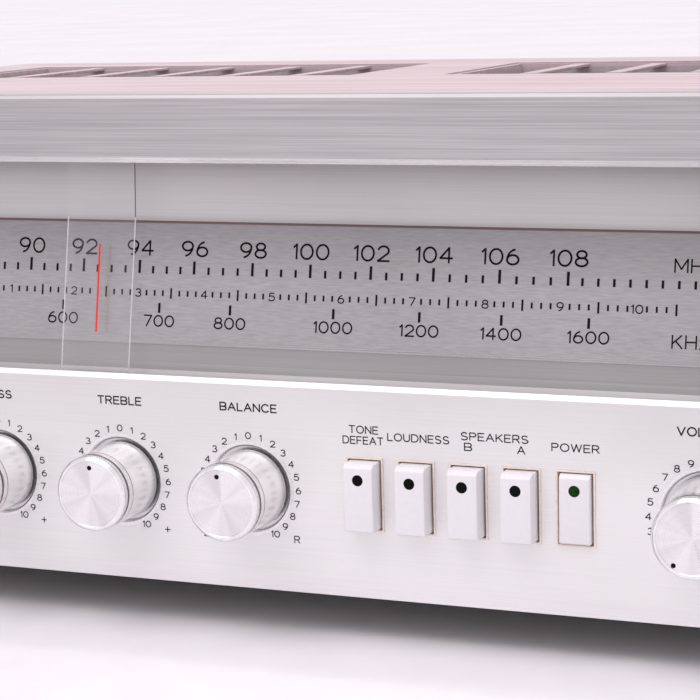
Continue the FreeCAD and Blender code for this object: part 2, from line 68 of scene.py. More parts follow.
RIGHT_BUTTONS = ("tone_defeat", "loudness", "speakers_b", "speakers_a", "power")
LEFT_BUTTONS = ("tape", "mode")


def at(x, d, h):
    """A place in the frame, in metres."""
    return Vector((x * MM, FRONT + d * MM, LEVEL + h * MM))


def dial_at(x, s, out):
    """A point x across and s up the dial's slope, out in front of its face."""
    d = DIAL_FOOT[0] + s * math.sin(LEAN) - out * math.cos(LEAN)
    h = DIAL_FOOT[1] + s * math.cos(LEAN) + out * math.sin(LEAN)
    return at(x, d, h)


def middle(node):
    """Middle of a CAD node as (x, d, h)."""
    low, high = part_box(node)
    centre = (low + high) / 2
    return centre.x / MM, (centre.y - FRONT) / MM, (centre.z - LEVEL) / MM


# ---- materials ----
def srgb(red, green, blue):
    def linear(value):
        value /= 255.0
        return value / 12.92 if value <= 0.04045 else ((value + 0.055) / 1.055) ** 2.4
    return (linear(red), linear(green), linear(blue), 1.0)


def grey(value):
    return srgb(value, value, value)


def fresh(name):
    material = bpy.data.materials.new(name)
    material.use_nodes = True
    tree = material.node_tree
    return material, tree, tree.nodes["Principled BSDF"]


def noise(tree, stretch, detail=4.0, distortion=0.0):
    """A noise value whose grain has the given frequency per metre along X, Y and Z."""
    where = tree.nodes.new("ShaderNodeTexCoord")
    mapping = tree.nodes.new("ShaderNodeMapping")
    mapping.inputs["Scale"].default_value = stretch
    tree.links.new(where.outputs["Object"], mapping.inputs["Vector"])
    field = tree.nodes.new("ShaderNodeTexNoise")
    field.inputs["Scale"].default_value = 1.0
    field.inputs["Detail"].default_value = detail
    field.inputs["Distortion"].default_value = distortion
    tree.links.new(mapping.outputs["Vector"], field.inputs["Vector"])
    return field.outputs["Fac"]


def ramp(tree, value, low, high, start=0.3, end=0.7):
    node = tree.nodes.new("ShaderNodeValToRGB")
    node.color_ramp.elements[0].position = start
    node.color_ramp.elements[0].color = low
    node.color_ramp.elements[1].position = end
    node.color_ramp.elements[1].color = high
    tree.links.new(value, node.inputs["Fac"])
    return node.outputs["Color"]


def span(tree, value, low, high, start=0.3, end=0.7):
    node = tree.nodes.new("ShaderNodeMapRange")
    node.inputs["From Min"].default_value = start
    node.inputs["From Max"].default_value = end
    node.inputs["To Min"].default_value = low
    node.inputs["To Max"].default_value = high
    tree.links.new(value, node.inputs["Value"])
    return node.outputs["Result"]


def blend_colours(tree, factor, first, second, mode="MIX"):
    node = tree.nodes.new("ShaderNodeMix")
    node.data_type = "RGBA"
    node.blend_type = mode
    if isinstance(factor, float):
        node.inputs[0].default_value = factor
    else:
        tree.links.new(factor, node.inputs[0])
    for socket, value in ((node.inputs[6], first), (node.inputs[7], second)):
        if isinstance(value, tuple):
            socket.default_value = value
        else:
            tree.links.new(value, socket)
    return node.outputs[2]


def bump(tree, value, depth, strength=1.0):
    node = tree.nodes.new("ShaderNodeBump")
    node.inputs["Strength"].default_value = strength
    node.inputs["Distance"].default_value = depth * MM
    tree.links.new(value, node.inputs["Height"])
    return node.outputs["Normal"]


def finish(name, dark, light, rough, metallic=0.0, grain=(900, 900, 900), depth=0.01, blotch=14.0,
           coat=0.0, specular=0.5):
    """A surface with fine grain, a slow change of tone, uneven gloss and a slight relief."""
    material, tree, shader = fresh(name)
    fine = noise(tree, grain)
    slow = noise(tree, (blotch, blotch, blotch), 2.0)
    colour = ramp(tree, fine, srgb(*dark), srgb(*light))
    tone = ramp(tree, slow, grey(245), grey(255))
    tree.links.new(blend_colours(tree, 1.0, colour, tone, "MULTIPLY"), shader.inputs["Base Color"])
    tree.links.new(span(tree, fine, rough[0], rough[1]), shader.inputs["Roughness"])
    tree.links.new(bump(tree, fine, depth), shader.inputs["Normal"])
    shader.inputs["Metallic"].default_value = metallic
    shader.inputs["Coat Weight"].default_value = coat
    shader.inputs["Coat Roughness"].default_value = 0.04
    shader.inputs["Specular IOR Level"].default_value = specular
    return material


# grain frequencies per metre along X, Y and Z
ACROSS = (14, 2400, 2400)          # brushed along X
SHORT_ACROSS = (260, 2600, 2600)   # brushed along X in short strokes
CAST = (420, 420, 420)
FINE = (2600, 2600, 2600)
SAWN = (200, 200, 2600)

FINISHES = {
    "brushed_fascia": dict(dark=(170, 170, 170), light=(198, 198, 198), rough=(0.38, 0.46), metallic=0.8,
                           grain=(18, 3000, 3000), depth=0.0008),
    "satin_fascia": dict(dark=(235, 235, 234), light=(241, 241, 240), rough=(0.4, 0.5), metallic=0.5,
                         grain=ACROSS, depth=0.001),
    "cheek_metal": dict(dark=(196, 195, 195), light=(214, 213, 213), rough=(0.35, 0.5), metallic=0.8,
                        grain=(2400, 60, 2400), depth=0.003),
    "recess_metal": dict(dark=(176, 175, 174), light=(184, 183, 182), rough=(0.34, 0.44), metallic=0.5,
                         grain=ACROSS, depth=0.001),
    "dial_metal": dict(dark=(162, 161, 162), light=(180, 179, 180), rough=(0.4, 0.5), metallic=0.75,
                       grain=SHORT_ACROSS, depth=0.0008, coat=0.9),
    "ring_metal": dict(dark=(228, 227, 227), light=(246, 245, 245), rough=(0.28, 0.4), metallic=0.8,
                       grain=(1400, 1400, 1400), depth=0.002),
    "bezel_plastic": dict(dark=(226, 213, 200), light=(242, 231, 219), rough=(0.4, 0.55), depth=0.004),
    "shaft_steel": dict(dark=(150, 148, 146), light=(188, 186, 184), rough=(0.25, 0.4), metallic=1.0,
                        grain=(2600, 60, 2600), depth=0.002),
    "pot_metal": dict(dark=(150, 146, 134), light=(186, 180, 164), rough=(0.3, 0.5), metallic=0.9),
    "dark_plastic": dict(dark=(28, 27, 28), light=(44, 43, 44), rough=(0.45, 0.65)),
    "jack_metal": dict(dark=(176, 174, 170), light=(222, 220, 216), rough=(0.15, 0.3), metallic=1.0),
    "brass": dict(dark=(168, 132, 66), light=(206, 172, 98), rough=(0.25, 0.42), metallic=1.0),
    "white_nylon": dict(dark=(222, 220, 212), light=(238, 236, 230), rough=(0.4, 0.55)),
    "cord_fibre": dict(dark=(70, 62, 52), light=(128, 116, 98), rough=(0.8, 0.95), grain=(3000, 3000, 3000)),
    "can_metal": dict(dark=(160, 160, 158), light=(200, 200, 198), rough=(0.25, 0.42), metallic=1.0),
    "meter_white": dict(dark=(214, 210, 200), light=(236, 233, 224), rough=(0.5, 0.65)),
    "needle_black": dict(dark=(150, 22, 18), light=(196, 36, 28), rough=(0.5, 0.6)),
    "chassis_steel": dict(dark=(140, 142, 138), light=(178, 180, 176), rough=(0.35, 0.55), metallic=0.9,
                          grain=CAST, depth=0.006, blotch=40.0),
    "rear_paint": dict(dark=(40, 40, 42), light=(62, 62, 64), rough=(0.55, 0.75), grain=(1500, 1500, 1500),
                       depth=0.03),
    "foot_rubber": dict(dark=(22, 21, 22), light=(40, 38, 40), rough=(0.7, 0.9), depth=0.03),
    "screw_steel": dict(dark=(120, 118, 116), light=(176, 174, 172), rough=(0.25, 0.45), metallic=1.0),
    "transformer_paint": dict(dark=(38, 36, 34), light=(72, 68, 64), rough=(0.5, 0.7), grain=CAST,
                              depth=0.05),
    "board_laminate": dict(dark=(120, 84, 40), light=(168, 126, 70), rough=(0.45, 0.6), grain=CAST),
    "heatsink_black": dict(dark=(20, 20, 22), light=(42, 42, 46), rough=(0.4, 0.6), metallic=0.4),
    "capacitor_sleeve": dict(dark=(34, 52, 104), light=(52, 74, 140), rough=(0.3, 0.45)),
    "button_plastic": dict(dark=(228, 227, 229), light=(231, 230, 232), rough=(0.3, 0.33), depth=0.0,
                           grain=(700, 700, 700)),
}


def wood(name, along="X", dark=(192, 172, 174), light=(212, 195, 197)):
    """Pale open-grained veneer: long streaks, short dark pores and a slow figure."""
    material, tree, shader = fresh(name)
    order = {"X": (0, 1, 2), "Y": (1, 0, 2)}[along]

    def laid(values):
        return tuple(values[order[i]] for i in range(3))
    streak = noise(tree, laid((9, 420, 420)), 5.0, 0.6)
    pores = noise(tree, laid((55, 2100, 2100)), 2.0)
    figure = noise(tree, laid((3, 38, 38)), 3.0, 1.2)
    base = ramp(tree, streak, srgb(*dark), srgb(*light), 0.32, 0.62)
    toned = blend_colours(tree, 1.0, base, ramp(tree, figure, srgb(238, 230, 230), srgb(255, 255, 255)),
                          "MULTIPLY")
    pored = blend_colours(tree, span(tree, pores, 0.34, 0.0, 0.3, 0.42), toned, srgb(150, 122, 122))
    tree.links.new(pored, shader.inputs["Base Color"])
    tree.links.new(span(tree, streak, 0.5, 0.36), shader.inputs["Roughness"])
    tree.links.new(bump(tree, pores, 0.03, 0.5), shader.inputs["Normal"])
    shader.inputs["Coat Weight"].default_value = 0.15
    shader.inputs["Coat Roughness"].default_value = 0.25
    return material


def spun(name, dark, light, rough, rings, anisotropy, metallic=0.9, painted_fan_tone=236):
    """Lathe-turned aluminium about the piece's own Y axis, with fine rings in its relief and a painted
    highlight fan in its tone round the axis.
    """
    material, tree, shader = fresh(name)
    where = tree.nodes.new("ShaderNodeTexCoord")
    parts = tree.nodes.new("ShaderNodeSeparateXYZ")
    tree.links.new(where.outputs["Object"], parts.inputs["Vector"])
    flat = tree.nodes.new("ShaderNodeCombineXYZ")
    tree.links.new(parts.outputs["X"], flat.inputs["X"])
    tree.links.new(parts.outputs["Z"], flat.inputs["Z"])
    reach = tree.nodes.new("ShaderNodeVectorMath")
    reach.operation = "LENGTH"
    tree.links.new(flat.outputs["Vector"], reach.inputs[0])
    line = tree.nodes.new("ShaderNodeCombineXYZ")
    tree.links.new(reach.outputs["Value"], line.inputs["X"])
    tree.links.new(parts.outputs["Y"], line.inputs["Y"])
    cut = tree.nodes.new("ShaderNodeTexNoise")
    cut.inputs["Scale"].default_value = rings
    cut.inputs["Detail"].default_value = 3.0
    tree.links.new(line.outputs["Vector"], cut.inputs["Vector"])
    turn = tree.nodes.new("ShaderNodeMath")
    turn.operation = "ARCTAN2"
    tree.links.new(parts.outputs["X"], turn.inputs[0])
    tree.links.new(parts.outputs["Z"], turn.inputs[1])
    # Painted highlight: a fan of brighter and darker sectors round the axis stands in for the reflections on
    # turned metal.
    fan = tree.nodes.new("ShaderNodeTexNoise")
    fan.noise_dimensions = "1D"
    fan.inputs["Scale"].default_value = 1.3
    fan.inputs["Detail"].default_value = 1.5
    tree.links.new(turn.outputs["Value"], fan.inputs["W"])
    sheen = ramp(tree, fan.outputs["Fac"], grey(painted_fan_tone), grey(255), 0.36, 0.6)
    cut_colour = ramp(tree, cut.outputs["Fac"], srgb(*dark), srgb(*light))
    tree.links.new(blend_colours(tree, 1.0, cut_colour, sheen, "MULTIPLY"), shader.inputs["Base Color"])
    tree.links.new(span(tree, cut.outputs["Fac"], rough[0], rough[1]), shader.inputs["Roughness"])
    tree.links.new(bump(tree, cut.outputs["Fac"], 0.0006), shader.inputs["Normal"])
    tangent = tree.nodes.new("ShaderNodeTangent")
    tangent.direction_type = "RADIAL"
    tangent.axis = "Y"
    tree.links.new(tangent.outputs["Tangent"], shader.inputs["Tangent"])
    shader.inputs["Anisotropic"].default_value = anisotropy
    shader.inputs["Metallic"].default_value = metallic
    return material


def clear(name, tint, rough, low_sheen):
    """Clear plastic with faint haze and scuffs in its gloss."""
    material, tree, shader = fresh(name)
    haze = noise(tree, (300, 300, 300))
    tree.links.new(ramp(tree, haze, srgb(*tint), srgb(255, 255, 255)), shader.inputs["Base Color"])
    tree.links.new(span(tree, haze, rough[0], rough[1]), shader.inputs["Roughness"])
    shader.inputs["Metallic"].default_value = 1.0
    through = tree.nodes.new("ShaderNodeBsdfTransparent")
    sheen = tree.nodes.new("ShaderNodeLayerWeight")
    sheen.inputs["Blend"].default_value = 0.5
    mix = tree.nodes.new("ShaderNodeMixShader")
    tree.links.new(span(tree, sheen.outputs["Facing"], low_sheen, 0.7, 0.5, 1.0), mix.inputs["Fac"])
    tree.links.new(through.outputs["BSDF"], mix.inputs[1])
    tree.links.new(shader.outputs["BSDF"], mix.inputs[2])
    tree.links.new(mix.outputs["Shader"], tree.nodes["Material Output"].inputs["Surface"])
    return material


made = {slot: finish(slot, **values) for slot, values in FINISHES.items()}
made["case_wood"] = wood("case_wood")
made["grille_wood"] = wood("grille_wood", dark=(188, 168, 171), light=(208, 190, 193))
made["knob_metal"] = spun("knob_metal", (232, 231, 231), (240, 239, 239), (0.26, 0.34), rings=2600.0,
                          anisotropy=0.75)
made["clear_acrylic"] = clear("clear_acrylic", (246, 244, 246), (0.02, 0.05), low_sheen=0.03)
made["meter_glass"] = clear("meter_glass", (244, 246, 246), (0.02, 0.05), low_sheen=0.04)


def shade_by_height(material, low, high, low_tone, high_tone):
    """Painted light and shade: eases a material's tone from low_tone at height low to high_tone at height
    high (mm).
    """
    tree = material.node_tree
    shader = tree.nodes["Principled BSDF"]
    before = shader.inputs["Base Color"].links[0].from_socket
    where = tree.nodes.new("ShaderNodeTexCoord")
    parts = tree.nodes.new("ShaderNodeSeparateXYZ")
    tree.links.new(where.outputs["Object"], parts.inputs["Vector"])
    rise = span(tree, parts.outputs["Z"], 0.0, 1.0, LEVEL + low * MM, LEVEL + high * MM)
    tone = ramp(tree, rise, grey(low_tone), grey(high_tone), 0.0, 1.0)
    tree.links.new(blend_colours(tree, 1.0, before, tone, "MULTIPLY"), shader.inputs["Base Color"])


# Painted shadow: the dial darkens towards its top, under the hood.
shade_by_height(made["dial_metal"], low=56.0, high=73.0, low_tone=255, high_tone=216)
# Painted shade: the recess darkens towards the bottom of the cove.
shade_by_height(made["recess_metal"], low=29.6, high=34.0, low_tone=208, high_tone=240)
# Painted light: the lower panel grows lighter towards its foot, as light from the floor in front.
shade_by_height(made["satin_fascia"], low=4.0, high=PANEL_TOP, low_tone=255, high_tone=238)

slot_of = {part["node"]: part["material_slot"] for part in frame["record"]["subparts"]}
for node, thing in frame["nodes"].items():
    thing.data.materials.clear()
    thing.data.materials.append(made[slot_of[node]])

side_wood = wood("case_wood_side", "Y")
frame["nodes"]["case_side_boards"].data.materials[0] = side_wood

polished = spun("polished_rim", (232, 231, 232), (252, 251, 252), (0.1, 0.18), rings=3000.0,
                anisotropy=0.3)
skirt_metal = spun("turned_skirt", (250, 249, 249), (253, 252, 252), (0.2, 0.24), rings=2600.0,
                   anisotropy=0.5, metallic=0.55, painted_fan_tone=226)
# Painted shade: a dark copy of the turned metal for the grooves round the knobs.
groove_painted_shade = spun("knob_groove_painted_shade", (132, 124, 120), (160, 152, 148), (0.4, 0.5), rings=3000.0,
                    anisotropy=0.2)
ink = finish("print_ink", (30, 24, 26), (44, 36, 38), (0.6, 0.75), grain=FINE, specular=0.15)
dial_ink = finish("dial_ink", (14, 11, 15), (24, 20, 26), (0.6, 0.75), grain=FINE, specular=0.1)
rear_ink = finish("rear_ink", (206, 206, 204), (228, 228, 226), (0.5, 0.65), grain=FINE)
lamp_dark = finish("lamp_window_dark", (5, 5, 5), (9, 8, 8), (0.35, 0.5), specular=0.08)
lamp_green = finish("lamp_window_green", (6, 24, 4), (20, 66, 10), (0.3, 0.4), specular=0.1)
# Painted highlight: a bright, glowing finish for downward-facing edges of the hood and the dial.
painted_edge_highlight = finish("edge_painted_highlight", (238, 237, 237), (248, 247, 247), (0.2, 0.3), metallic=0.6, grain=ACROSS,
                     depth=0.001)
panel_edge = finish("panel_edge", (224, 223, 223), (232, 231, 231), (0.3, 0.4), metallic=0.3, grain=ACROSS,
                    depth=0.001)
# Painted shade: a duller, less metallic copy of the fascia finish for the hood's upward faces, toning down
# their light from above.
hood_top_painted_shade = finish("hood_top_painted_shade", (176, 175, 174), (190, 189, 188), (0.36, 0.46), metallic=0.5, grain=ACROSS,
                  depth=0.001)
# Painted light: a lighter copy of the recess finish for the wall above the dial, which the hood would shade.
upper_wall_painted_light = finish("recess_wall_upper_painted_light", (208, 207, 206), (216, 215, 214), (0.34, 0.44), metallic=0.35,
                    grain=ACROSS, depth=0.001)
# Painted shade for the walls inside the wells, lifted again by a painted glow.
well_shade = finish("well_shade", (168, 156, 160), (184, 172, 176), (0.8, 0.95), grain=CAST)
gap_shade = finish("gap_shade", (58, 48, 52), (76, 64, 68), (0.8, 0.95), grain=CAST)
# Painted shadow: dark brown for the line along the dial's top edge and for the groove along the hood's top.
painted_seam_shadow = finish("painted_seam_shadow", (86, 66, 64), (112, 90, 86), (0.5, 0.65), grain=ACROSS)
# Sawn edges are milky in themselves; their glow is painted light.
edge_milk = finish("acrylic_edge", (244, 242, 243), (252, 250, 252), (0.3, 0.45), grain=SAWN)
# Painted shade: a dark copy of the edge finish for the top of the cursor's right edge.
edge_painted_dark = finish("acrylic_edge_painted_dark", (132, 122, 126), (150, 140, 144), (0.3, 0.45), grain=SAWN)
red_line = finish("pointer_red", (222, 34, 36), (236, 50, 50), (0.35, 0.45), grain=(2600, 2600, 900))
card_paper = finish("meter_card", (232, 226, 210), (244, 239, 226), (0.6, 0.7), grain=(1800, 1800, 1800))


def glow(material, colour, strength):
    """Painted light: emission that makes a surface glow though it is no lamp, such as the sawn edge of clear
    plastic.
    """
    shader = material.node_tree.nodes["Principled BSDF"]
    shader.inputs["Emission Color"].default_value = colour
    shader.inputs["Emission Strength"].default_value = strength


glow(painted_edge_highlight, srgb(255, 252, 255), strength=0.08)
# painted glow on the cursor's sawn edges
glow(edge_milk, srgb(255, 252, 255), strength=0.15)
# painted glow that lifts the painted shade inside the wells
glow(well_shade, srgb(196, 180, 188), strength=0.1)


def repaint(node, material, chosen):
    """Gives a second material to the faces of a CAD node that a test picks by middle and normal."""
    mesh = frame["nodes"][node].data
    mesh.materials.append(material)
    slot = len(mesh.materials) - 1
    for face in mesh.polygons:
        spot = face.center
        if chosen(spot.x / MM, (spot.y - FRONT) / MM, (spot.z - LEVEL) / MM, face.normal):
            face.material_index = slot


FACING = 0.3                       # part of a normal that makes a face count as facing that way
EDGE_ON = 0.95                     # part of a normal past which a face is flat rather than bevelled
HOOD_LIP = 8.5                     # depth that the bevel under the hood stays in front of
GROOVE = (1.8, 2.8)                # front and back of the fine groove along the hood's top
GROOVE_DEEP = 0.8
SKIN = 0.2                         # how far below the case's top face a well's wall counts
WELL_INNER, WELL_OUTER = 17.5, 192.5
WELL_FRONT, WELL_BACK = 199.2, 284.0
GAP_FRONT, GAP_BACK = 198.0, 201.0  # the front wall of each well, painted dark as shade
GAP_MORE = 0.5                     # how much wider the front wall is taken than the well
WALL_FOOT = 60.0                   # height above which the wall over the dial is painted lighter, as painted light under the hood


def hood_groove(x, d, h, n):
    return GROOVE[0] < d < GROOVE[1] and HOOD_TOP - GROOVE_DEEP < h < HOOD_TOP - 0.01


def well_front(x, d, h, n):
    wide = WELL_INNER - GAP_MORE < abs(x) < WELL_OUTER + GAP_MORE
    return wide and GAP_FRONT < d < GAP_BACK and h < CASE_TOP - SKIN


def well_wall(x, d, h, n):
    wide = WELL_INNER < abs(x) < WELL_OUTER
    return wide and WELL_FRONT < d < WELL_BACK and h < CASE_TOP - SKIN


repaint("hood", hood_top_painted_shade, lambda x, d, h, n: n.z > FACING)
repaint("hood", painted_edge_highlight, lambda x, d, h, n: n.z < -FACING and d < HOOD_LIP)
# the groove along the hood's top gets painted shadow
repaint("hood", painted_seam_shadow, hood_groove)
repaint("case_top_board", gap_shade, well_front)
repaint("case_top_board", well_shade, well_wall)
repaint("lower_panel", panel_edge, lambda x, d, h, n: FACING < n.z < EDGE_ON and h > PANEL_TOP - 3)
# the dial's downward-facing bottom edge gets painted highlight
repaint("dial_plate", painted_edge_highlight, lambda x, d, h, n: n.z < -FACING and n.y < -FACING)
repaint("recess_panel", upper_wall_painted_light, lambda x, d, h, n: h > WALL_FOOT)


# ---- building pieces ----
def piece(name, shape, materials, body, origin=None, crease=None, nodes=()):
    """Makes an object from a bmesh, rides it on a CAD body and has it stand for CAD nodes."""
    mesh = bpy.data.meshes.new(name)
    bmesh.ops.recalc_face_normals(shape, faces=shape.faces)
    if origin is not None:
        bmesh.ops.translate(shape, vec=-origin, verts=shape.verts)
    shape.to_mesh(mesh)
    shape.free()
    thing = bpy.data.objects.new(name, mesh)
    bpy.context.scene.collection.objects.link(thing)
    if origin is not None:
        thing.location = origin
    for material in materials:
        mesh.materials.append(material)
    if crease is not None:
        mesh.shade_smooth()
        mesh.set_sharp_from_angle(angle=math.radians(crease))
    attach(thing, body)
    if nodes:
        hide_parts(*nodes)
    return thing


def turned(shape, outline, centre, steps=128):
    """A turned surface about Y; outline holds (radius, depth, material of the band that follows)."""
    rings = []
    for radius, depth, _ in outline:
        middle_point = centre + Vector((0, depth * MM, 0))
        if radius == 0:
            rings.append([shape.verts.new(middle_point)] * steps)
            continue
        turns = [2 * math.pi * i / steps for i in range(steps)]
        rings.append([shape.verts.new(middle_point + radius * MM * Vector((math.sin(t), 0, math.cos(t))))
                      for t in turns])
    for row, (near, far) in enumerate(zip(rings, rings[1:])):
        for i in range(steps):
            j = (i + 1) % steps
            corners = list(dict.fromkeys((near[i], far[i], far[j], near[j])))
            face = shape.faces.new(corners)
            face.material_index = outline[row][2]


def rounded_box(shape, low, high, radius, material=0, segments=3):
    corners = bmesh.ops.create_cube(shape, size=1.0)["verts"]
    for corner in corners:
        corner.co = Vector([low[i] + (corner.co[i] + 0.5) * (high[i] - low[i]) for i in range(3)])
    edges = list({edge for corner in corners for edge in corner.link_edges})
    faces = {face for corner in corners for face in corner.link_faces}
    if radius:
        result = bmesh.ops.bevel(shape, geom=edges, offset=radius * MM, segments=segments, affect="EDGES",
                                 profile=0.5)
        faces = {f for f in faces if f.is_valid} | set(result["faces"])
    for face in faces:
        face.material_index = material


def patch(shape, place, corners, material=0):
    face = shape.faces.new([shape.verts.new(place(u, v)) for u, v in corners])
    face.material_index = material


def oblong(u0, v0, u1, v1):
    return [(u0, v0), (u1, v0), (u1, v1), (u0, v1)]


def strips(low, high, count):
    """The start and end of each of count equal strips from low to high."""
    edges = [low + (high - low) * i / count for i in range(count + 1)]
    return list(zip(edges, edges[1:]))


# ---- lettering: wide thin strokes in a cell one unit tall ----
def arc(cx, cy, rx, ry, start, end):
    steps = max(2, int(abs(end - start) / 12))
    angles = [math.radians(start + (end - start) * i / steps) for i in range(steps + 1)]
    return [(cx + rx * math.cos(a), cy + ry * math.sin(a)) for a in angles]


BOWL = [(0, 0), (0, 1), (0.48, 1)] + arc(0.48, 0.74, 0.28, 0.26, 90, -90) + [(0, 0.48)]
SIX = [arc(0.42, 0.31, 0.4, 0.31, 0, 360), arc(0.66, 0.3, 0.63, 0.7, 100, 178)]
GLYPHS = {
    " ": (0.5, []),
    "A": (0.94, [[(0, 0), (0.47, 1), (0.94, 0)], [(0.17, 0.34), (0.77, 0.34)]]),
    "B": (0.8, [BOWL, [(0.48, 0.48)] + arc(0.5, 0.24, 0.3, 0.24, 90, -90) + [(0, 0)]]),
    "C": (0.92, [arc(0.5, 0.5, 0.5, 0.5, 42, 318)]),
    "D": (0.9, [[(0, 0), (0, 1), (0.42, 1)] + arc(0.42, 0.5, 0.48, 0.5, 90, -90) + [(0, 0)]]),
    "E": (0.72, [[(0.72, 1), (0, 1), (0, 0), (0.72, 0)], [(0, 0.52), (0.64, 0.52)]]),
    "F": (0.7, [[(0.7, 1), (0, 1), (0, 0)], [(0, 0.5), (0.62, 0.5)]]),
    "G": (0.94, [arc(0.5, 0.5, 0.5, 0.5, 42, 340) + [(0.97, 0.46), (0.58, 0.46)]]),
    "H": (0.82, [[(0, 0), (0, 1)], [(0.82, 0), (0.82, 1)], [(0, 0.5), (0.82, 0.5)]]),
    "I": (0.05, [[(0.02, 0), (0.02, 1)]]),
    "K": (0.78, [[(0, 0), (0, 1)], [(0.74, 1), (0, 0.36)], [(0.26, 0.58), (0.78, 0)]]),
    "L": (0.64, [[(0, 1), (0, 0), (0.64, 0)]]),
    "M": (0.98, [[(0, 0), (0, 1), (0.49, 0.24), (0.98, 1), (0.98, 0)]]),
    "N": (0.82, [[(0, 0), (0, 1), (0.82, 0), (0.82, 1)]]),
    "O": (1.02, [arc(0.51, 0.5, 0.51, 0.5, 0, 360)]),
    "P": (0.76, [BOWL]),
    "R": (0.8, [BOWL, [(0.42, 0.48), (0.8, 0)]]),
    "S": (0.78, [arc(0.38, 0.75, 0.34, 0.25, 28, 270) + arc(0.38, 0.25, 0.38, 0.25, 80, -152)]),
    "T": (0.82, [[(0, 1), (0.82, 1)], [(0.41, 1), (0.41, 0)]]),
    "U": (0.82, [[(0, 1), (0, 0.38)] + arc(0.41, 0.38, 0.41, 0.38, 180, 360) + [(0.82, 1)]]),
    "V": (0.9, [[(0, 1), (0.45, 0), (0.9, 1)]]),
    "W": (1.24, [[(0, 1), (0.31, 0), (0.62, 1), (0.93, 0), (1.24, 1)]]),
    "X": (0.8, [[(0, 0), (0.8, 1)], [(0, 1), (0.8, 0)]]),
    "z": (0.56, [[(0, 0.68), (0.56, 0.68), (0, 0), (0.56, 0)]]),
    "0": (0.88, [arc(0.44, 0.5, 0.44, 0.5, 0, 360)]),
    "1": (0.24, [[(0, 0.8), (0.22, 1), (0.22, 0)]]),
    "2": (0.8, [arc(0.4, 0.69, 0.38, 0.31, 165, -32) + [(0, 0), (0.82, 0)]]),
    "3": (0.8, [arc(0.38, 0.76, 0.33, 0.24, 150, -80) + arc(0.38, 0.27, 0.4, 0.27, 80, -150)]),
    "4": (0.86, [[(0.62, 0), (0.62, 1), (0, 0.3), (0.86, 0.3)]]),
    "5": (0.8, [[(0.72, 1), (0.14, 1), (0.07, 0.52)] + arc(0.38, 0.32, 0.42, 0.32, 132, -150)]),
    "6": (0.84, SIX),
    "7": (0.78, [[(0, 1), (0.78, 1), (0.26, 0)]]),
    "8": (0.8, [arc(0.4, 0.76, 0.32, 0.24, 0, 360), arc(0.4, 0.27, 0.4, 0.27, 0, 360)]),
    "9": (0.84, [[(0.84 - x, 1 - y) for x, y in stroke] for stroke in SIX]),
    "+": (0.8, [[(0, 0.5), (0.8, 0.5)], [(0.4, 0.1), (0.4, 0.9)]]),
    "-": (0.7, [[(0, 0.5), (0.7, 0.5)]]),
}
LETTER_GAP = 0.3
STROKE_LAP = 0.3                   # how far a stroke runs past its ends, in widths


def write(shape, text, place, size, weight, width=None, centred=False, material=0):
    """Writes text from (0, 0) of place(u, v), size tall, stretched to width where one is given."""
    natural = sum(GLYPHS[c][0] for c in text) + LETTER_GAP * (len(text) - 1)
    stretch = (width / natural) if width else size
    pen = -natural * stretch / 2 if centred else 0.0
    for letter in text:
        advance, strokes = GLYPHS[letter]
        for stroke in strokes:
            points = [Vector((pen + x * stretch, y * size)) for x, y in stroke]
            for first, second in zip(points, points[1:]):
                along = (second - first).normalized()
                side = Vector((-along.y, along.x)) * weight / 2
                start = first - along * weight * STROKE_LAP
                end = second + along * weight * STROKE_LAP
                patch(shape, place, [start - side, end - side, end + side, start + side], material)
        pen += (advance + LETTER_GAP) * stretch


def on_panel(x, h):
    return lambda u, v: at(x + u, -PRINT, h + v)


def on_dial(x, s):
    return lambda u, v: dial_at(x + u, s + v, PRINT)


# ---- lower panel printing ----
NAME_FOOT = 22.4                   # knob names: height of the foot, size, weight and shift from the knob
NAME_SIZE = 2.1
NAME_WEIGHT = 0.38
NAME_SHIFT = {"bass": 0.5, "treble": 0.5, "balance": 0.5, "selector": 0.5, "volume": -1.2}
NAME_WIDE = {"bass": 9.6, "treble": 13.7, "balance": 17.0, "selector": 19.5, "volume": 14.4}
CAP = 1.95                         # button names: size and weight
THIN = 0.3
PANEL_WORDS = (                    # word, left end, foot and width
    ("TONE", 60.9, 18.05, 8.3), ("DEFEAT", 59.0, 15.1, 11.6), ("LOUDNESS", 72.05, 16.5, 17.4),
    ("SPEAKERS", 93.0, 17.9, 18.5), ("B", 93.85, 15.05, 2.0), ("A", 108.6, 15.0, 1.95),
    ("POWER", 118.0, 16.4, 12.7), ("TAPE", -105.3, 16.5, 8.6), ("MODE", -90.4, 16.5, 9.4),
    ("PHONES", -202.2, 16.5, 14.4))
DIGIT = 1.7                        # knob scales: size, weight, radius and degrees from digit to digit
DIGIT_WEIGHT = 0.27
SCALE_R = 14.7
SCALE_STEP = 15
SCALE_SHIFT = (0.2, 0.3)           # middle of a tone control's scale, from the knob's axis
SIGN_SIZE = 1.9
SIGN_R = 19.6
SIGN_TURN = 135
SMALL_DIGIT = 1.6
VOLUME_SHIFT = -1.0                # middle of the volume scale, from the knob's axis
VOLUME_START = -150
SELECTOR_WORDS = (("PHONO", -30, 19.0), ("AM", 0, 16.2), ("FM", 30, 16.6), ("AUX", 60, 18.0))


def panel_words(shape):
    for name, width in NAME_WIDE.items():
        place = on_panel(middle(name + "_knob")[0] + NAME_SHIFT[name], NAME_FOOT)
        write(shape, name.upper(), place, NAME_SIZE, NAME_WEIGHT, width, centred=True)
    for word, x, h, width in PANEL_WORDS:
        write(shape, word, on_panel(x, h), CAP, THIN, width)


def scale_digit(shape, centre, text, turn, radius=SCALE_R, size=DIGIT):
    a = math.radians(turn)
    place = on_panel(centre[0] + radius * math.sin(a), centre[1] + radius * math.cos(a) - size / 2)
    write(shape, text, place, size, DIGIT_WEIGHT, centred=True)


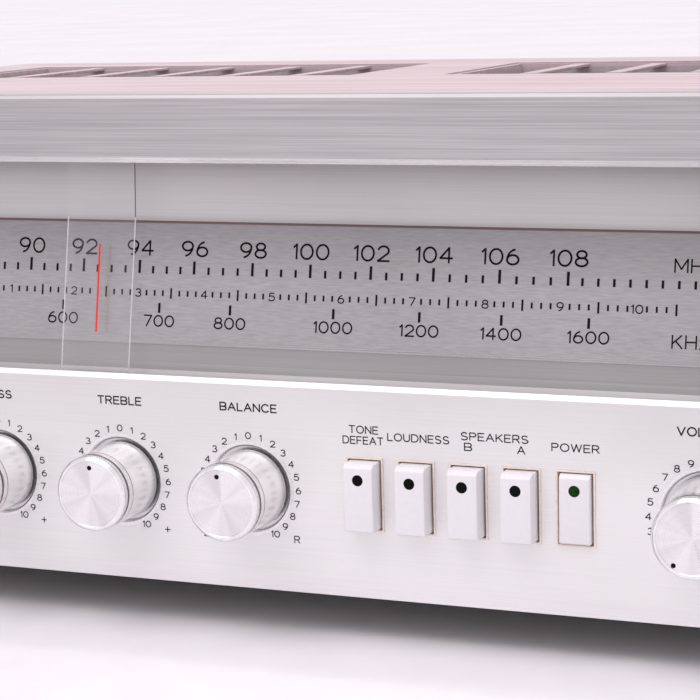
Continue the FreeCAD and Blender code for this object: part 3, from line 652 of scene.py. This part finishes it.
def tone_scale(shape, name, ends):
    """Digits from 10 down to 0 at the top and up to 10 again, with a sign beyond each end."""
    x, _, h = middle(name + "_knob")
    centre = (x + SCALE_SHIFT[0], h + SCALE_SHIFT[1])
    for count in range(-10, 11):
        scale_digit(shape, centre, str(abs(count)), count * SCALE_STEP)
    for sign, turn in zip(ends, (-SIGN_TURN, SIGN_TURN)):
        scale_digit(shape, centre, sign, turn, SIGN_R, SIGN_SIZE)


def volume_scale(shape):
    """Digits from 0 to 20; those past 10 are smaller and a little further out."""
    x, _, h = middle("volume_knob")
    for count in range(21):
        out, size = (0.6, SMALL_DIGIT) if count > 10 else (0.4, DIGIT)
        turn = VOLUME_START + count * SCALE_STEP
        scale_digit(shape, (x + VOLUME_SHIFT, h), str(count), turn, SCALE_R + out, size)


def selector_scale(shape):
    x, _, h = middle("selector_knob")
    for word, turn, radius in SELECTOR_WORDS:
        scale_digit(shape, (x, h), word, turn, radius, SMALL_DIGIT)


lettering = bmesh.new()
panel_words(lettering)
for name, ends in (("bass", "-+"), ("treble", "-+"), ("balance", "LR")):
    tone_scale(lettering, name, ends)
volume_scale(lettering)
selector_scale(lettering)
piece("panel_lettering", lettering, [ink], "chassis")


# ---- dial printing: x across, s up the slope ----
FM_LONG = {88: -60.0, 90: -42.2, 92: -24.9, 94: -6.9, 96: 10.3, 98: 28.3, 100: 45.8, 102: 63.7, 104: 81.8,
           106: 100.5, 108: 119.4}
AM_MARKS = {550: -59.0, 600: -31.0, 700: -0.1, 800: 22.0, 1000: 53.2, 1200: 78.3, 1400: 101.5, 1600: 125.5}
FM_TICK = (19.9, 23.6, 0.78)       # foot, top and width of a mark
FM_SHORT_TICK = (19.9, 22.0, 0.7)
AM_TICK = (8.8, 11.6, 0.75)
FM_TAIL_START = 123.3              # short marks go on past 108
FM_TAIL_PITCH = 4.3
LOG_FIRST = -38.1                  # the mark between 1 and 2 on the logging scale
LOG_PITCH = 20.75
LOG_LEVEL = 14.4
LOG_EIGHTHS = (1, 2, 3, 5, 6, 7)   # where the short marks are; the digit is at the fourth
DIAL_WORDS = (                     # word, left end, foot, size and weight
    ("FM", -88.0, 24.2, 3.4, 0.42), ("MHz", 147.8, 24.2, 3.4, 0.42),
    ("AM", -88.0, 4.65, 3.3, 0.4), ("KHz", 147.9, 4.65, 3.3, 0.4))


def tick(shape, x, low, high, wide):
    patch(shape, on_dial(x, low), oblong(-wide / 2, 0, wide / 2, high - low))


def fm_scale(shape):
    marks = sorted(FM_LONG.items())
    for number, x in marks:
        tick(shape, x, *FM_TICK)
        write(shape, str(number), on_dial(x, 25.1), 4.0, 0.54, centred=True)
    for (_, first), (_, second) in zip(marks, marks[1:]):
        for quarter in range(1, 4):
            tick(shape, first + (second - first) * quarter / 4, *FM_SHORT_TICK)
    for count in range(8):
        tick(shape, FM_TAIL_START + FM_TAIL_PITCH * count, *FM_SHORT_TICK)


def logging_scale(shape):
    """Ten digits, each half way between two long marks, with no long mark before the first."""
    for number in range(11):
        x = LOG_FIRST + LOG_PITCH * (number - 1)
        if number > 0:
            tick(shape, x, LOG_LEVEL - 1.5, LOG_LEVEL + 1.5, 0.55)
        if number < 10:
            for count in LOG_EIGHTHS:
                tick(shape, x + LOG_PITCH * count / 8, LOG_LEVEL - 0.8, LOG_LEVEL + 0.8, 0.55)
            place = on_dial(x + LOG_PITCH / 2, LOG_LEVEL - 1.1)
            write(shape, str(number + 1), place, 2.1, 0.32, centred=True)


def am_scale(shape):
    for number, x in AM_MARKS.items():
        tick(shape, x, *AM_TICK)
        write(shape, str(number), on_dial(x, 5.05), 2.95, 0.42, centred=True)


printing = bmesh.new()
fm_scale(printing)
logging_scale(printing)
am_scale(printing)
for word, x, foot, size, weight in DIAL_WORDS:
    write(printing, word, on_dial(x, foot), size, weight)
piece("dial_printing", printing, [dial_ink], "chassis")

SEAM = (34.2, 34.85)               # foot and top of the painted shadow line along the dial's top edge
SEAM_REACH = 205.8
seam = bmesh.new()
for start, end in strips(-SEAM_REACH, SEAM_REACH, 8):
    patch(seam, on_dial(0, 0), oblong(start, SEAM[0], end, SEAM[1]))
piece("dial_top_seam_shadow", seam, [painted_seam_shadow], "chassis")


# ---- turned knobs ----
FACE, RIM, SKIRT, GROOVE_BAND, SHADOW = range(5)
BORE_R = 3.05                      # the hole that the shaft goes in
DOT_R = 0.68
DOT_SINK = 0.27                    # the dot's edge, behind the front of the knob
TONE_KNOB = (10.65, 11.05, 7.4)    # face radius, base radius and the dot's distance from the axis
VOLUME_KNOB = (10.65, 11.75, 8.5)
TUNING_KNOB = (18.55, 19.45, 14.6)


def knob_outline(face_r, base_r, front, back):
    """From the middle of the face over a ridge, down the side past two grooves, and in to the bore."""
    return [
        (0, front + 0.42, FACE), (face_r * 0.45, front + 0.4, FACE), (face_r - 1.5, front + 0.3, RIM),
        (face_r - 1.32, front + 0.02, RIM), (face_r - 1.2, front, RIM), (face_r - 0.95, front + 0.02, RIM),
        (face_r - 0.25, front + 0.6, RIM), (face_r - 0.04, front + 0.9, RIM), (face_r, front + 1.2, RIM),
        (face_r, front + 2.3, RIM), (face_r - 0.1, front + 2.5, GROOVE_BAND),
        (face_r - 0.5, front + 2.7, GROOVE_BAND), (face_r - 0.5, front + 3.25, GROOVE_BAND),
        (face_r - 0.08, front + 3.45, RIM), (face_r + 0.03, front + 3.65, RIM),
        (face_r + 0.05, front + 5.2, GROOVE_BAND), (face_r - 0.1, front + 5.28, GROOVE_BAND),
        (face_r - 0.1, front + 5.42, GROOVE_BAND), (face_r + 0.06, front + 5.5, SKIRT),
        (base_r - 0.04, back - 0.75, SHADOW), (base_r - 0.3, back - 0.7, SHADOW),
        (base_r - 0.32, back, SHADOW), (BORE_R, back, SHADOW)]


def knob(name, sizes, dot_turn, body):
    face_r, base_r, dot_r = sizes
    low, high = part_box(name + "_knob")
    x, _, h = middle(name + "_knob")
    front = (low.y - FRONT) / MM
    back = (high.y - FRONT) / MM
    centre = at(x, 0, h)
    shape = bmesh.new()
    turned(shape, knob_outline(face_r, base_r, front, back), centre)
    # The grooves are painted shade, and the last band, at the foot of the skirt and over its back, painted
    # shadow.
    bands = [made["knob_metal"], polished, skirt_metal, groove_painted_shade, gap_shade]
    piece(name + "_turned_knob", shape, bands, body, centre, 28, [name + "_knob"])
    mark = bmesh.new()
    a = math.radians(dot_turn)
    dot = at(x + dot_r * math.sin(a), front + DOT_SINK, h + dot_r * math.cos(a))
    turned(mark, [(0, 0.02, 0), (DOT_R - 0.12, 0, 0), (DOT_R, 0.06, 0), (DOT_R, 0.12, 0)], dot, steps=32)
    piece(name + "_dot", mark, [lamp_dark], body, crease=40)


for name, turn in (("bass", 0), ("treble", 0), ("balance", -8), ("selector", -30)):
    knob(name, TONE_KNOB, turn, name + "_control")
knob("volume", VOLUME_KNOB, -146, "volume_control")
knob("tuning", TUNING_KNOB, 0, "tuning")


# ---- push buttons ----
CAP_LENGTH = 8.0
CAP_DRAFT = 0.28                   # how much narrower each side is at the front
CAP_SLOPE = 1.1                    # how far the top slopes down to the front
CAP_ROUND = 0.34
LAMP_RISE = 5.0                    # the lamp window, above the middle of the button
LAMP_DOME = [(0, -0.02, 0), (0.9, -0.01, 0), (1.45, 0.0, 0), (1.6, 0.03, 0), (1.62, 0.2, 0)]


def push_button(name, lamp, body):
    low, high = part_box(name + "_button")
    x, _, h = middle(name + "_button")
    front = (low.y - FRONT) / MM
    back = front + CAP_LENGTH
    top = (high.z - LEVEL) / MM
    bottom = (low.z - LEVEL) / MM
    half = (high.x - low.x) / MM / 2
    shape = bmesh.new()
    profile = [(front, bottom + 0.35, CAP_DRAFT), (front, top - CAP_SLOPE, CAP_DRAFT),
               (front + 1.3, top - 0.05, 0.1), (back, top, 0), (back, bottom, 0),
               (front + 0.3, bottom + 0.02, 0.1)]
    left, right = [[shape.verts.new(at(x + side * (half - inset), d, z)) for d, z, inset in profile]
                   for side in (-1, 1)]
    for i in range(len(profile)):
        j = (i + 1) % len(profile)
        shape.faces.new((left[i], left[j], right[j], right[i]))
    shape.faces.new(left)
    shape.faces.new(list(reversed(right)))
    bmesh.ops.bevel(shape, geom=list(shape.edges), offset=CAP_ROUND * MM, segments=4, affect="EDGES",
                    profile=0.5)
    piece(name + "_cap", shape, [made["button_plastic"]], body, None, 40,
          [name + "_button"])
    window = bmesh.new()
    turned(window, LAMP_DOME, at(x, front - 0.02, h + LAMP_RISE), steps=48)
    piece(name + "_lamp", window, [lamp], body, crease=40)


for name in RIGHT_BUTTONS + LEFT_BUTTONS:
    push_button(name, lamp_green if name == "power" else lamp_dark, name + "_key")


# ---- cursor: clear strip, its sawn edges and a red line ----
CLEAR, MILK, PAINTED_DARK = range(3)
STRIP_WALL = 0.7
STRIP_OUT = 3.0                    # how far the strip is in front of the dial, measured level
STRIP_RUN = 36.0                   # how far the strip leans beside the dial, above its foot
STRIP_TAIL = 6.2                   # height that the lean goes on below the dial's foot
STRIP_HEAD = 1.3                   # how much further back the top of the strip is than its bend
LINE_FOOT = 2.7
LINE_TOP = 27.7
LINE_OUT = 3.12                    # in front of the dial, on the face of the strip
LINE_HALF = 0.3
LINE_SHIFT = 0.1


def cursor_strip():
    """Milky edges, but for the top of its left edge, which is clear, and the top of its right, which is
    painted dark as shade.
    """
    low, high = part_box("cursor")
    x0, x1 = low.x / MM, high.x / MM
    start = (DIAL_FOOT[0] - STRIP_OUT, DIAL_FOOT[1])
    knee = (start[0] + STRIP_RUN * math.sin(LEAN), start[1] + STRIP_RUN * math.cos(LEAN))
    foot = (start[0] - STRIP_TAIL * math.tan(LEAN), start[1] - STRIP_TAIL)
    front = [(foot[0], (low.z - LEVEL) / MM), foot, knee, (knee[0] + STRIP_HEAD, (high.z - LEVEL) / MM)]
    last = len(front) - 1
    shape = bmesh.new()
    left, right = [[[shape.verts.new(at(x, d + back, h)) for back in (0, STRIP_WALL)] for d, h in front]
                   for x in (x0, x1)]
    for row in range(last):
        for back in (0, 1):
            shape.faces.new([left[row][back], right[row][back], right[row + 1][back], left[row + 1][back]])
        for column, top_edge in ((left, CLEAR), (right, PAINTED_DARK)):
            face = shape.faces.new([column[row][0], column[row][1], column[row + 1][1], column[row + 1][0]])
            face.material_index = top_edge if row == last - 1 else MILK
    for row in (0, last):
        face = shape.faces.new([left[row][0], left[row][1], right[row][1], right[row][0]])
        face.material_index = MILK
    piece("cursor_strip", shape, [made["clear_acrylic"], edge_milk, edge_painted_dark], "pointer",
          nodes=["cursor"])
    line = bmesh.new()
    line_x = (x0 + x1) / 2 + LINE_SHIFT
    for line_low, line_high in strips(LINE_FOOT, LINE_TOP, 6):
        patch(line, lambda u, v: dial_at(u, v, LINE_OUT),
              oblong(line_x - LINE_HALF, line_low, line_x + LINE_HALF, line_high))
    piece("cursor_red_line", line, [red_line], "pointer")


cursor_strip()


# ---- slotted inserts in the top, which sag and bow back a little at their middles ----
SAG = 0.3
BOW = 3.0
VENT_INNER, VENT_OUTER = 18.5, 191.5
VENT_RIM = 2.0
VENT_STRIPS = 36                   # the rims are cut into this many, so that they can bend
BAR = 5.5
BAR_FIRST = 45.0
BAR_PITCH = 30.0
BAR_COUNT = 5
BAR_ROUND = 0.12


def sag(x):
    centre = (VENT_INNER + VENT_OUTER) / 2
    reach = (VENT_OUTER - VENT_INNER) / 2
    return SAG * math.cos(math.pi / 2 * (abs(x) - centre) / reach)


def vent_insert(side):
    low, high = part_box("vent_grilles")
    front = (low.y - FRONT) / MM
    back = (high.y - FRONT) / MM
    top = (high.z - LEVEL) / MM
    base = (low.z - LEVEL) / MM
    rims = []
    for x0, x1 in strips(VENT_INNER, VENT_OUTER, VENT_STRIPS):
        rims += [(x0, x1, front, front + VENT_RIM), (x0, x1, back - VENT_RIM, back)]
    centres = [BAR_FIRST + BAR_PITCH * i for i in range(BAR_COUNT)]
    ends = [(VENT_INNER, VENT_INNER + VENT_RIM), (VENT_OUTER - VENT_RIM, VENT_OUTER)]
    bars = [(x0, x1, front + VENT_RIM, back - VENT_RIM)
            for x0, x1 in ends + [(x - BAR / 2, x + BAR / 2) for x in centres]]
    shape = bmesh.new()
    for boxes, radius in ((rims, 0.0), (bars, BAR_ROUND)):
        for x0, x1, d0, d1 in boxes:
            a, b = sorted((side * x0, side * x1))
            rounded_box(shape, at(a, d0, base), at(b, d1, top), radius, segments=1)
    for vert in shape.verts:
        drop = sag(vert.co.x / MM)
        if vert.co.z > LEVEL + (top + base) / 2 * MM:
            vert.co.z -= drop * MM
            if vert.co.y < FRONT + (front + 1.0) * MM:
                vert.co.y += BOW / SAG * drop * MM
    bmesh.ops.remove_doubles(shape, verts=shape.verts, dist=0.00001)
    return shape


def vent_gap(side):
    """A dark patch of painted shadow, just under the case's top, in the gap that the bowed front of an
    insert leaves.
    """
    shape = bmesh.new()
    front = (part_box("vent_grilles")[0].y - FRONT) / MM
    for x0, x1 in strips(VENT_INNER, VENT_OUTER, VENT_STRIPS):
        far = [(side * x, front + BOW / SAG * sag(x)) for x in (x1, x0)]
        near = [(side * x, front - 0.4) for x in (x0, x1)]
        patch(shape, lambda u, v: at(u, v, CASE_TOP - 0.03), near + far)
    return shape


for side, word in ((-1, "left"), (1, "right")):
    piece("vent_gap_" + word, vent_gap(side), [gap_shade], "chassis")
    piece("vent_insert_" + word, vent_insert(side), [made["grille_wood"]], "chassis",
          None, 30, ["vent_grilles"])


# ---- meter cards ----
CARD_FOOT, CARD_TOP = 5.6, 29.4    # up the dial's slope
CARD_HALF = 20.4
CARD_BACK = 7.4                    # behind the dial's face
METER_INK = 0.08                   # how far the printing stands off the card
METER_SWEEP = (-40, 40)            # degrees from straight up
PIVOT = Vector((0, 9.0))           # the middle of the arc, up the slope from the dial's foot
ARC_R = 15.5
ARC_WIDE = 0.35
MARK_HALF = 0.16
MARK_COUNT = 5
NUMBER_OUT = 3.0                   # numbers, beyond the arc
METER_CAP = 1.6
METER_WEIGHT = 0.22
METER_NAME_FOOT = 6.2


def meter_card(x, label, name):
    shape = bmesh.new()

    def card(u, v):
        return dial_at(x + u, v, -CARD_BACK)

    def ink_at(u, v):
        return dial_at(x + u, v, METER_INK - CARD_BACK)

    def swept(radius, turn):
        return PIVOT + radius * Vector((math.sin(turn), math.cos(turn)))
    for u0, u1 in strips(-CARD_HALF, CARD_HALF, 8):
        patch(shape, card, oblong(u0, CARD_FOOT, u1, CARD_TOP))
    for a0, a1 in strips(math.radians(METER_SWEEP[0]), math.radians(METER_SWEEP[1]), 24):
        patch(shape, ink_at, [swept(ARC_R, a0), swept(ARC_R, a1), swept(ARC_R + ARC_WIDE, a1),
                              swept(ARC_R + ARC_WIDE, a0)], 1)
    for i in range(MARK_COUNT + 1):
        a = math.radians(METER_SWEEP[0] + (METER_SWEEP[1] - METER_SWEEP[0]) * i / MARK_COUNT)
        across = Vector((math.cos(a), -math.sin(a))) * MARK_HALF
        inner, outer = swept(ARC_R - 0.2, a), swept(ARC_R + 1.6, a)
        patch(shape, ink_at, [inner - across, inner + across, outer + across, outer - across], 1)
        if label == "SIGNAL":
            spot = swept(ARC_R + NUMBER_OUT, a)
            write(shape, str(i), lambda u, v: ink_at(spot.x + u, spot.y - METER_CAP / 2 + v), METER_CAP,
                  METER_WEIGHT, centred=True, material=1)
    write(shape, label, lambda u, v: ink_at(u, METER_NAME_FOOT + v), METER_CAP, METER_WEIGHT, centred=True,
          material=1)
    piece(name, shape, [card_paper, dial_ink], "chassis")


meter_card(-180.0, "SIGNAL", "signal_card")
meter_card(-128.0, "TUNING", "tuning_card")


# ---- rear labels ----
REAR_WEIGHT = 0.34
REAR_WORDS = (                     # word, middle, foot, size, and width where it is stretched
    ("SPEAKERS", -80, 26.0, 3.0, 26.0), ("A", -105, 26.0, 2.6, None), ("B", -55, 26.0, 2.6, None),
    ("PHONO", 29, 17.0, 2.4, 13.0), ("TAPE", 65, 17.0, 2.4, 10.0), ("AM", 172, 46.0, 2.4, None),
    ("FM", 142, 46.0, 2.4, None), ("L", 12, 4.8, 2.2, None), ("R", 12, -13.2, 2.2, None),
    ("AC", -180, 8.0, 2.4, None))


def rear_labels():
    shape = bmesh.new()
    depth = (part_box("rear_panel")[1].y - FRONT) / MM + PRINT

    def on_rear(x, h):
        return lambda u, v: at(x - u, depth, h + v)
    for word, x, h, size, width in REAR_WORDS:
        write(shape, word, on_rear(x, h), size, REAR_WEIGHT, width, centred=True)
    piece("rear_labels", shape, [rear_ink], "chassis")


rear_labels()


# ---- floor, light and camera ----
def floor():
    shape = bmesh.new()
    cells = strips(-30.0, 30.0, 24)
    for x0, x1 in cells:
        for y0, y1 in cells:
            patch(shape, lambda x, y: (x, y, 0), oblong(x0, y0, x1, y1))
    bmesh.ops.remove_doubles(shape, verts=shape.verts, dist=0.001)
    mesh = bpy.data.meshes.new("floor")
    shape.to_mesh(mesh)
    shape.free()
    thing = bpy.data.objects.new("floor", mesh)
    bpy.context.scene.collection.objects.link(thing)
    mesh.materials.append(finish("floor_laminate", (249, 247, 249), (253, 251, 253), (0.2, 0.22),
                                 grain=(60, 60, 60), depth=0.0, blotch=3.0, coat=0.25, specular=0.35))


def world():
    """A pale studio all round, very slightly brighter above and behind the object."""
    studio = bpy.data.worlds.new("studio")
    bpy.context.scene.world = studio
    studio.use_nodes = True
    tree = studio.node_tree
    back = tree.nodes["Background"]
    where = tree.nodes.new("ShaderNodeTexCoord")
    parts = tree.nodes.new("ShaderNodeSeparateXYZ")
    tree.links.new(where.outputs["Generated"], parts.inputs["Vector"])
    total = tree.nodes.new("ShaderNodeMath")
    total.operation = "MULTIPLY_ADD"
    total.inputs[1].default_value = 1.1
    tree.links.new(parts.outputs["Z"], total.inputs[0])
    tree.links.new(parts.outputs["Y"], total.inputs[2])
    tree.links.new(span(tree, total.outputs["Value"], 0.94, 0.98, -0.7, 0.7), back.inputs["Strength"])
    back.inputs["Color"].default_value = srgb(253, 246, 252)


LAMP_SIZE = (1.6, 1.2)
LAMP_COLOUR = (1.0, 0.945, 0.985)


def lamp(name, place, target, energy):
    light = bpy.data.lights.new(name, "AREA")
    light.shape = "RECTANGLE"
    light.size, light.size_y = LAMP_SIZE
    light.energy = energy
    light.color = LAMP_COLOUR
    thing = bpy.data.objects.new(name, light)
    bpy.context.scene.collection.objects.link(thing)
    thing.location = place
    thing.rotation_mode = "QUATERNION"
    thing.rotation_quaternion = (Vector(target) - Vector(place)).to_track_quat("-Z", "Y")


YAW, PITCH, ROLL = (math.radians(a) for a in (22.557, 9.859, -1.604))
EYE = Vector((0.28485, -0.69453, 0.18202))
LENS = 113.0


def camera():
    """Turned YAW to the left of straight back, PITCH down, and rolled about its own line of sight."""
    ahead = Vector((-math.sin(YAW) * math.cos(PITCH), math.cos(YAW) * math.cos(PITCH), -math.sin(PITCH)))
    right = Vector((math.cos(YAW), math.sin(YAW), 0))
    up = right.cross(ahead)
    turned_right = math.cos(ROLL) * right + math.sin(ROLL) * up
    turned_up = -math.sin(ROLL) * right + math.cos(ROLL) * up
    data = bpy.data.cameras.new("camera")
    data.sensor_width = 36.0
    data.lens = LENS
    thing = bpy.data.objects.new("camera", data)
    bpy.context.scene.collection.objects.link(thing)
    place = Matrix((turned_right, turned_up, -ahead)).transposed().to_4x4()
    place.translation = EYE
    thing.matrix_world = place
    bpy.context.scene.camera = thing


floor()
world()
lamp("key", (-0.3, -0.9, 1.75), (0, -0.15, 0.05), 17.0)
lamp("rim", (-0.5, 0.9, 1.5), (0, 0, 0.05), 1.0)
camera()
bpy.context.scene.view_settings.view_transform = "Standard"
